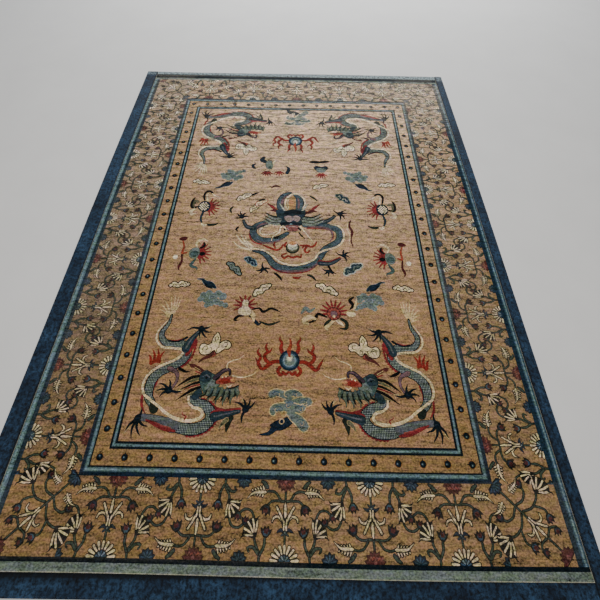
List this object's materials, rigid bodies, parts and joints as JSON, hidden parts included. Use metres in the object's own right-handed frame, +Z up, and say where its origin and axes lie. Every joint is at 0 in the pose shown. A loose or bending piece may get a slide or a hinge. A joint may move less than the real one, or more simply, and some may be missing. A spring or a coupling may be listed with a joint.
{
  "type": "rug",
  "caption": "Rectangular knotted silk rug lying flat, with a patterned field, guard stripe and floral border, and plain blue cloth bands sewn round its edge.",
  "frame": {"origin": "on the floor, under the middle of the rug's outline", "axes": "+X across the rug to the right, +Y along its length away from the viewer, +Z up out of the pile"},
  "size_m": [2.7632, 3.6216, 0.0112],
  "materials": {
    "silk_rug": "knotted silk pile, soft sheen",
    "blue_band": "plain woven cloth, matt"
  },
  "bodies": {
    "root": {"rug": "silk_rug", "band_left": "blue_band", "band_right": "blue_band", "band_near": "blue_band", "band_far": "blue_band"}
  },
  "joints": []
}
